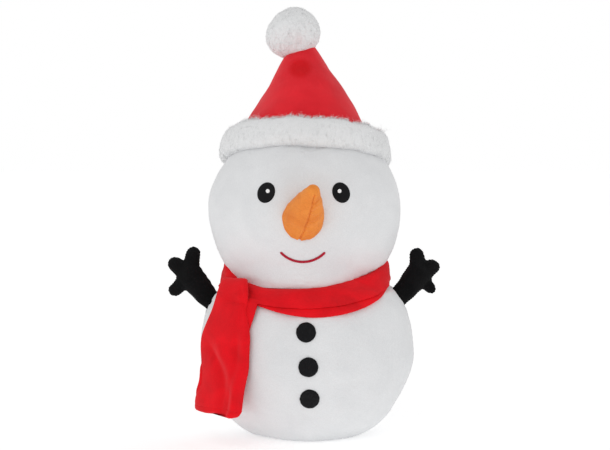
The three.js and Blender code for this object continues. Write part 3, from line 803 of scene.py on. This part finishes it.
def make_pompom():
    low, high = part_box("pompom_cover")
    radius = (high.x - low.x) / 2
    centre = Vector(((low.x + high.x) / 2, (low.y + high.y) / 2, high.z - radius - 1 * MM))
    arc = np.linspace(0.03 - QUARTER, QUARTER - 0.03, 90)
    outline = resample(np.column_stack([radius * np.cos(arc), radius * np.sin(arc)]), 90)
    ball, _ = revolved(outline, 160)
    way = ball / radius
    relief = lumps(ball, 1.0, 34, 17)
    relief -= 3.4 * MM * ease(0.72, 1.0, way @ POMPOM_FLAT_SIDE)
    relief += 1.8 * MM * bell(np.linalg.norm(way - POMPOM_FULL_SIDE, axis=-1), 0.7)
    relief -= 3.5 * MM * bell(np.linalg.norm((way - POMPOM_TUCK) * np.array([1.6, 1, 0.8]), axis=-1), 0.2)
    grid = ball * POMPOM_CORE + way * relief[..., None]
    place = Matrix.Translation(centre)
    under = closed_form("pompom_undercoat", placed(grid, place))
    finish_piece(under, WHITE_UNDERCOAT, "white_fur", "pompom", "pompom_cover", "pompom_stuffing")
    knot = np.array(joint_pivot("pompom_flop") - centre)

    def comb_away(roots):
        return unit(roots - knot)

    fur("pompom_fur", "pompom", grid, place, comb_away, 1800, 5 * MM, 100, lie=0.985)


# ---- the nose

NOSE_ROOT = np.array([-5.4, -110, 270.5]) * MM
NOSE_TIP = np.array([8.6, -171, 313]) * MM
NOSE_ROOT_RADIUS, NOSE_TIP_RADIUS = 26 * MM, 6.2 * MM
NOSE_SEAM = math.radians(-101)  # where the seam starts, round the nose's own axis
NOSE_SEAM_TWIST = math.radians(24)


def nose_rings(rows=190, columns=220):
    """Rings that face forward at the root and along the nose at its tip, round at both ends."""
    share = np.linspace(0, 1, rows)
    start_round = quarter_round(share / 0.09)
    end_round = quarter_round(1 - (share - 0.93) / 0.075)
    swell = 1 + 0.09 * np.sin(math.pi * share)
    radius = (NOSE_ROOT_RADIUS + (NOSE_TIP_RADIUS - NOSE_ROOT_RADIUS) * share) * swell
    radius = radius * (0.25 + 0.75 * start_round) * np.maximum(end_round, 0.03)
    axis = Vector(NOSE_TIP - NOSE_ROOT).normalized()
    angle = circle(columns, -math.pi)[:, None]
    rings = []
    for place, size in zip(share, radius):
        facing = AHEAD.lerp(axis, ease(0.1, 1.0, place)).normalized()
        across = np.array(Vector((1, 0, 0)) - facing * facing.x)
        across /= np.linalg.norm(across)
        up = np.cross(across, np.array(facing))
        centre = NOSE_ROOT + (NOSE_TIP - NOSE_ROOT) * place
        rings.append(centre + size * (np.cos(angle) * across + np.sin(angle) * -up))
    return np.array(rings), share, angle[:, 0], radius


def make_nose():
    grid, share, angle, radius = nose_rings()
    share = share[:, None]
    seam = NOSE_SEAM + NOSE_SEAM_TWIST * share
    turn = turn_from(seam, angle[None, :])
    distance = radius[:, None] * np.abs(turn)
    along = share * np.linalg.norm(NOSE_TIP - NOSE_ROOT)
    ripple = np.sin(along * TURN / (7 * MM) + 2.2 * waves(grid, 16, 21))
    relief = -1.3 * MM * bell(distance, 1 * MM) + 0.45 * MM * bell(distance - 2.4 * MM, 1.4 * MM)
    relief += 0.9 * MM * ripple * np.exp(-distance / (9 * MM)) * (turn > 0)
    relief += lumps(grid, 0.4, 14, 22)
    relief -= 1.8 * MM * bell(distance, 1.8 * MM) * bell(share - 0.1, 0.08)
    fade = ease(0, 0.1, share) * ease(0, 0.12, 1 - share)
    nose = closed_form("nose_cover_sewn", raised(grid, relief * fade))
    finish_piece(nose, ORANGE_PLUSH, "orange_plush", None, "nose_cover", "nose_stuffing")
    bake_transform(nose)


# ---- the arms


def rod_object(start, end, start_radius, end_radius):
    """A tapering rod with round ends, as one closed form."""
    start, end = np.array(start), np.array(end)
    axis = end - start
    length = np.linalg.norm(axis)
    low_arc = np.linspace(0.05 - QUARTER, 0, 8)
    high_arc = np.linspace(0, QUARTER - 0.05, 8)
    outline = [[start_radius * math.cos(a), start_radius * math.sin(a)] for a in low_arc]
    outline += [[end_radius * math.cos(a), length + end_radius * math.sin(a)] for a in high_arc]
    grid, _ = revolved(np.array(outline), 24)
    turn = Vector((0, 0, 1)).rotation_difference(Vector(axis / length)).to_matrix().to_4x4()
    return closed_form("rod", placed(grid, Matrix.Translation(Vector(start)) @ turn))


def join(pieces, name):
    bpy.ops.object.select_all(action="DESELECT")
    for piece in pieces:
        piece.select_set(True)
    bpy.context.view_layer.objects.active = pieces[0]
    bpy.ops.object.join()
    pieces[0].name = name
    pieces[0].data.name = name
    return pieces[0]


def read_vertices(piece, what="co"):
    flat = np.zeros(len(piece.data.vertices) * 3)
    piece.data.vertices.foreach_get(what, flat)
    return flat.reshape(-1, 3)


def move_vertices(piece, points):
    piece.data.vertices.foreach_set("co", points.ravel())
    piece.data.update()


def push_out(piece, relief):
    """Moves each vertex along its normal."""
    move_vertices(piece, read_vertices(piece) + read_vertices(piece, "normal") * relief[:, None])


ARMS = {"left": (-1, 1.03, 2.2 * MM), "right": (1, 0.98, 0)}  # side, scale, shift outward
ARM_RADIUS = 11.7 * MM
ARM_FLATNESS = 0.86  # how thick an arm is, as a share of how wide
# Outward and upward from the shoulder, and the radius of palms and fingers there, in mm
ARM_ROOTS = {"left": (-4.5, -5.8), "right": (-5.5, -7.6)}
PALMS = {"left": (24, 27.5, 16.8), "right": (24.5, 26.5, 16.3)}
FINGERS = {
    "left": [(20.3, 54.5, 8.9), (42, 41.8, 9.4), (42.5, 10.2, 7.9)],
    "right": [(22.6, 52.2, 8.9), (42, 37, 9.4), (40, 8.8, 6.8)],
}


def make_arm(name, side, scale, shift):
    pivot = joint_pivot(f"arm_{name}_raise")

    def place(across, up):
        return [pivot.x + side * (across * scale + shift), 0, pivot.z + up * scale]

    across, up, palm_radius = np.array(PALMS[name]) * MM
    palm = place(across, up)
    root = place(*(np.array(ARM_ROOTS[name]) * MM))
    pieces = [rod_object(root, palm, ARM_RADIUS, palm_radius)]
    for across, up, radius in np.array(FINGERS[name]) * MM:
        pieces.append(rod_object(palm, place(across, up), radius + 2.5 * MM, radius))
    arm = join(pieces, f"arm_{name}_sewn")
    remesh = arm.modifiers.new("remesh", "REMESH")
    remesh.mode = "VOXEL"
    remesh.voxel_size = 1.1 * MM
    soften = arm.modifiers.new("soften", "SMOOTH")
    soften.factor = 0.8
    soften.iterations = 16
    for modifier in list(arm.modifiers):
        bpy.ops.object.modifier_apply(modifier=modifier.name)
    points = read_vertices(arm)
    points[:, 1] *= ARM_FLATNESS
    move_vertices(arm, points)
    edge_seam = -0.9 * MM * bell(points[:, 1], 1.3 * MM)
    puckers = 0.35 * MM * np.sin(points @ np.array([1, 0, 1.3]) * TURN / (5 * MM))
    puckers *= bell(points[:, 1], 5 * MM)
    push_out(arm, 0.5 * MM + edge_seam + puckers + lumps(points, 0.5, 20, 24))
    finish_piece(arm, BLACK_PLUSH, "black_plush", None, f"arm_cover_{name}", f"arm_stuffing_{name}")
    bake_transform(arm)


# ---- the scarf

# Azimuth from the front in degrees, then the heights of the band's upper and lower edges
BAND_EDGES = np.array([
    [-180, 212, 184], [-120, 216, 188], [-90, 218, 190], [-76, 216, 187], [-66, 208, 184], [-54, 199, 180],
    [-44, 197, 177], [-37, 190.5, 174], [-25, 188.8, 167.5], [-15, 189.6, 161.5], [0, 190, 156.5],
    [10, 191.5, 156.5], [27, 196.5, 162], [40, 199.5, 170], [50, 202.7, 177], [60, 207, 183],
    [68, 212, 187.5], [76, 216, 190], [84, 218, 190], [130, 215, 188], [180, 212, 184],
])
# Azimuth in degrees, then how far down the band its fold lies
BAND_FOLD = np.array([[-180, 0.93], [-38, 0.97], [-24, 0.84], [-8, 0.71], [10, 0.67], [30, 0.71], [50, 0.8],
                      [66, 0.92], [180, 0.93]])
BAND_THICKNESS = 8.5 * MM


def look_up(table, places, column=1):
    """A column of a table, read between its rows by the first column."""
    return np.interp(places, table[:, 0], table[:, column])


def smoothed(values, window, beyond):
    """The values, averaged over a window. Beyond their ends they wrap, or stay as at the edge."""
    kernel = np.hanning(window) / np.hanning(window).sum()
    return np.convolve(np.pad(values, window // 2, beyond), kernel, "valid")


def under_scarf(height):
    """The radius of what the scarf lies on."""
    return np.maximum(body_radius(height), head_radius(height))


def band_section(fold):
    """Rows of [share down the band, share of the thickness], round from the outside to the inside."""
    down = np.linspace(0, 1, 80)
    outer = (1 - np.abs(2 * down - 1) ** 9) ** 0.5
    upper = np.clip((fold - down) / 0.035, 0, 1) ** 0.5
    lower = 0.62 + 0.12 * np.clip((down - fold) / 0.12, 0, 1)
    outside = outer * np.where(down < fold, np.maximum(upper, lower * 0.8), lower)
    inside = np.zeros(len(down) - 2)
    return np.column_stack([np.append(down, down[-2:0:-1]), np.append(outside, inside)])


def make_band():
    azimuth = circle(480, -math.pi)
    degrees = np.degrees(azimuth)
    upper, lower = [smoothed(look_up(BAND_EDGES, degrees, column) * MM, 45, "wrap") for column in (1, 2)]
    sections = np.stack([band_section(fold) for fold in look_up(BAND_FOLD, degrees)], axis=1)
    share, lift = sections[..., 0], sections[..., 1]
    from_front = np.abs(degrees)
    thin = 1 - 0.5 * ease(45, 85, from_front)
    height = upper + (lower - upper) * share
    bridge = under_scarf(upper) * (1 - share) + under_scarf(lower) * share
    tucked = 5 * MM * ease(50, 72, from_front) * (1 - ease(0, 0.6, share))
    radius = np.maximum(under_scarf(height), bridge) + 0.6 * MM + lift * BAND_THICKNESS * thin - tucked
    outward = np.stack([np.sin(azimuth), -np.cos(azimuth), 0 * azimuth], axis=-1)
    grid = np.stack([radius * np.sin(azimuth), -radius * np.cos(azimuth) * BODY_DEPTH_RATIO,
                     height], axis=-1)
    long_folds = 0.9 * MM * np.sin(share * 8 + 2.2 * waves(grid * np.array([1, 1, 0.4]), 80, 26))
    cross_creases = lumps(grid * np.array([1, 1, 2.2]), 0.6, 45, 27)
    grid = grid + outward * ((long_folds + cross_creases) * ease(0.2, 0.5, lift))[..., None]
    band = closed_ring("scarf_band_cloth", grid)
    finish_piece(band, SCARF_VELVET, "scarf_velvet", "torso", "scarf_neck_band")


def sheet_normals(sheet):
    """Unit normals of a hanging sheet, out from the body."""
    return unit(np.cross(np.gradient(sheet, axis=0), np.gradient(sheet, axis=1)))


def tail_piece(name, path, edges, relief, thickness, rows=280, columns=130):
    """A hanging strip. Its path is [radius, height], and its edges are [height, left x, right x], in mm."""
    line = smooth_curve(np.array(path) * MM, rows)
    edges = np.array(edges)[::-1] * MM
    sides = [smoothed(look_up(edges, line[:, 1], column), 31, "edge") for column in (1, 2)]
    left, right = [np.arcsin(np.clip(-side / line[:, 0], -1, 1)) for side in sides]
    place = np.linspace(-1, 1, columns)
    along = distance_along(line)
    to_end = along[-1] - along
    half = (left - right) / 2 - CORNER_RADIUS * (1 - quarter_round(to_end / CORNER_RADIUS)) / line[:, 0]
    angle = ((left + right) / 2)[:, None] - half[:, None] * place
    radius, height = line[:, :1], line[:, 1:]
    notch = 2.4 * MM * bell(place - 0.1, 0.22) * (1 - ease(0, 14 * MM, to_end))[:, None]
    sheet = np.stack([-radius * np.sin(angle), -radius * np.cos(angle) * BODY_DEPTH_RATIO,
                      height + notch], axis=-1)
    sheet = sheet + sheet_normals(sheet) * relief(place[None, :], height, sheet)[..., None]
    rim = np.sqrt(np.clip(1 - np.abs(place) ** 10, 0, 1))
    rim = rim * np.sqrt(np.clip(to_end / (2.5 * MM), 0, 1))[:, None]
    half_thick = sheet_normals(sheet) * (thickness / 2 * np.maximum(rim, 0.05))[..., None]
    return closed_form(name, np.concatenate([sheet + half_thick, (sheet - half_thick)[:, ::-1]], axis=1))


CORNER_RADIUS = 9 * MM
# Heights in mm, then where the long fold and the turned edge lie, from -1 at the left to 1 at the right
FOLD_LINE = np.array([[40, 0.8], [62, 0.8], [82, 0.64], [100, 0.42], [115, 0.16], [130, -0.1]])
TURNED_EDGE = np.array([[36, -1.0], [55, -0.93], [72, -0.8], [85, -0.82], [102, -1.0]])
# Creases that run from the pinch beside the band: the place and height of their far ends, depth and width
PINCH = (0.95, 172)
CREASES = [((-0.55, 178), 2.4, 4.5), ((0.62, 132), 1.5, 4.5), ((0.55, 196), 1.4, 4.0)]
TAIL_HALF_WIDTH = 30


def creases(place, height):
    """Valleys that fade from the pinch to their far ends."""
    x, z = place * TAIL_HALF_WIDTH, height / MM
    start = np.array([PINCH[0] * TAIL_HALF_WIDTH, PINCH[1]])
    total = 0
    for (end_place, end_height), depth, width in CREASES:
        way = np.array([end_place * TAIL_HALF_WIDTH, end_height]) - start
        length = np.linalg.norm(way)
        along = ((x - start[0]) * way[0] + (z - start[1]) * way[1]) / length ** 2
        across = ((x - start[0]) * way[1] - (z - start[1]) * way[0]) / length
        fade = ease(-0.05, 0.12, along) * (1 - ease(0.35, 1.0, along))
        total = total - depth * MM * bell(across, width * (0.6 + 0.8 * np.clip(along, 0, 1))) * fade
    return total - 2.5 * MM * bell(np.hypot(x - start[0], z - start[1]), 6)


def front_relief(place, height, points):
    """One long fold down to the lower right, creases at the band, a hem and a turned left edge."""
    beside = place - look_up(FOLD_LINE, height / MM)
    fold = 4.5 * MM * bell(beside, np.where(beside < 0, 0.2, 0.3)) - 3 * MM * bell(beside + 0.45, 0.2)
    edge_roll = 2.5 * MM * bell(place - 0.86, 0.14) - 1.5 * MM * bell(place - 0.62, 0.12)
    hanging = 1 - ease(122 * MM, 146 * MM, height)
    inside = 1 - ease(0.8, 0.97, np.abs(place))
    below_wrap = 1 - ease(190 * MM, 199 * MM, height)
    turned = 1.8 * MM * ease(0.02, -0.04, place - look_up(TURNED_EDGE, height / MM))
    curl = -3 * MM * ease(0.88, 1.0, np.abs(place))
    hem = -0.8 * MM * bell(height - 44 * MM, 1 * MM)
    fold = fold * inside * (1 - ease(106 * MM, 130 * MM, height))
    relief = fold + edge_roll * hanging + creases(place, height) * below_wrap + turned + curl + hem
    return relief + lumps(points, 1.2, 46, 28)


def back_relief(place, height, points):
    return -1 * MM * ease(0.8, 1.0, np.abs(place)) + lumps(points, 0.4, 34, 29)


FRONT_PATH = [[104.5, 183], [108, 191.5], [113, 197], [118.5, 196.5], [124.5, 190], [130, 180],
              [134.5, 167], [138, 150], [141, 125], [142.5, 95], [143.5, 65], [144, 36]]
FRONT_EDGES = [[200, -100, -73], [195, -103, -71], [188, -105, -70], [170, -112, -73], [166, -113.5, -75],
               [148, -120, -70.5], [130, -127, -68.5], [115, -129, -69], [95, -128.5, -70],
               [74, -129.5, -74], [55, -133.5, -77.5], [36, -137.5, -80]]
BACK_PATH = [[122, 178], [127, 170], [132, 155], [135, 130], [136, 104], [136, 80], [135.5, 60]]
BACK_EDGES = [[178, -104, -58], [170, -108, -59], [143, -114, -68], [115, -116, -76], [60, -116, -80]]


def hang(tail, end):
    """Gives a hanging strip its cloth, hides its frame part and bakes its transform."""
    finish_piece(tail, SCARF_VELVET, "scarf_velvet", None, f"scarf_tail_{end}")
    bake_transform(tail)


def make_tails():
    front = tail_piece("scarf_tail_front_cloth", FRONT_PATH, FRONT_EDGES, front_relief, 5.5 * MM)
    hang(front, "front")
    back = tail_piece("scarf_tail_back_cloth", BACK_PATH, BACK_EDGES, back_relief, 2.4 * MM, 120, 60)
    hang(back, "back")


# ---- stage, light and camera


def make_floor():
    bpy.ops.mesh.primitive_plane_add(size=FLOOR_SIZE, location=(0, 0, 0))
    floor = bpy.context.object
    floor.name = "floor"
    material, _, shader = new_material("pale_floor", (0.95, 0.95, 0.95), 0.9)
    set_inputs(shader, {"Emission Color": (1, 1, 1, 1), "Emission Strength": FLOOR_GLOW})
    floor.data.materials.append(material)


def make_world():
    """Even white light, behind which the camera sees plain white."""
    world = bpy.data.worlds.new("studio")
    SCENE.world = world
    world.use_nodes = True
    tree = world.node_tree
    light = tree.nodes["Background"]
    set_inputs(light, {"Color": (1, 1, 1, 1), "Strength": WORLD_LIGHT})
    backdrop = add_node(tree, "Background", Color=(1, 1, 1, 1))
    choose = add_node(tree, "MixShader", Fac=add_node(tree, "LightPath").outputs["Is Camera Ray"])
    tree.links.new(light.outputs["Background"], choose.inputs[1])
    tree.links.new(backdrop.outputs["Background"], choose.inputs[2])
    tree.links.new(choose.outputs["Shader"], tree.nodes["World Output"].inputs["Surface"])


def stand(name, data, place, way):
    """A lamp or a camera at a place, turned to face a way."""
    thing = new_object(name, data)
    thing.location = place
    thing.rotation_euler = way.to_track_quat("-Z", "Y").to_euler()
    return thing


def make_key_light():
    light = bpy.data.lights.new("key", "AREA")
    light.size = KEY_SIZE
    light.energy = KEY_LIGHT
    stand("key", light, KEY_PLACE, KEY_AIM - KEY_PLACE)


def make_camera():
    camera = bpy.data.cameras.new("camera")
    camera.sensor_width = SENSOR_WIDTH
    camera.lens = SENSOR_WIDTH * CAMERA_DISTANCE / FRAME_WIDTH
    back = Vector((0, -math.cos(CAMERA_ELEVATION), math.sin(CAMERA_ELEVATION)))
    bpy.context.scene.camera = stand("camera", camera, AIM + back * CAMERA_DISTANCE, -back)


make_floor()
make_world()
make_key_light()
make_camera()
SCENE.view_settings.view_transform = "Standard"

body_front = front_of(make_body(), body_normal)
face_front = front_of(make_head(), head_normal)
make_neck_wad()
make_neck_seam()
make_eyes(face_front)
make_mouth(face_front)
make_buttons(body_front)
make_hat()
make_trim()
make_pompom()
make_nose()
for arm_name, arm_shape in ARMS.items():
    make_arm(arm_name, *arm_shape)
make_band()
make_tails()
bag = frame["nodes"]["base_weight_bag"]
bag.data.materials.clear()
bag.data.materials.append(PELLET_CLOTH)
